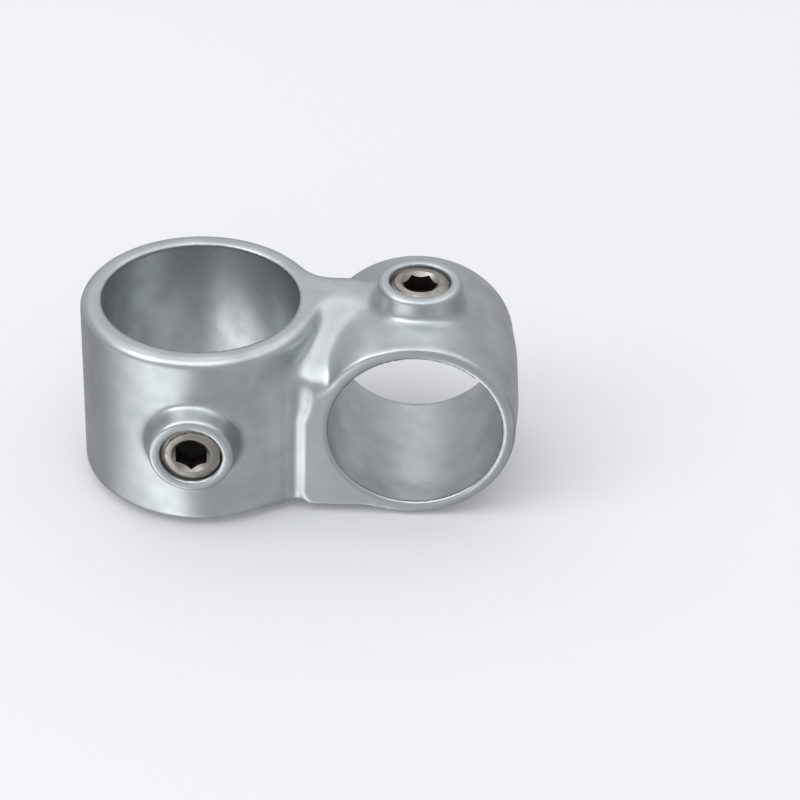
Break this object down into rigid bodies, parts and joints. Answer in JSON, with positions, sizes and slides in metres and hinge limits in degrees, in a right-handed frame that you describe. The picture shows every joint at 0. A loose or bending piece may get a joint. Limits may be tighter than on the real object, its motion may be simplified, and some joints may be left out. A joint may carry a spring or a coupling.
{
  "type": "crossover tube clamp fitting",
  "caption": "Cast crossover clamp with an upright sleeve and a level sleeve side by side at right angles, each with a socket set screw, for fixing a rail across a post.",
  "frame": {"origin": "middle of the post bore, on its axis", "axes": "+Z along the post bore, +Y along the rail bore, +X from the post bore to the rail bore"},
  "size_m": [0.1111, 0.0658, 0.057],
  "materials": {
    "galvanised_casting": "hot-dip galvanised, satin",
    "screw_steel": "plated steel, dull"
  },
  "bodies": {
    "casting": {"cast_body": "galvanised_casting"},
    "post_screw": {"post_set_screw": "screw_steel"},
    "rail_screw": {"rail_set_screw": "screw_steel"}
  },
  "joints": [
    {"name": "post_screw_travel", "type": "slide", "parent": "casting", "child": "post_screw", "axis": [0, 1, 0], "range_m": [-0.004, 0.0032]},
    {"name": "rail_screw_travel", "type": "slide", "parent": "casting", "child": "rail_screw", "axis": [0, 0, -1], "range_m": [-0.004, 0.0019]}
  ]
}
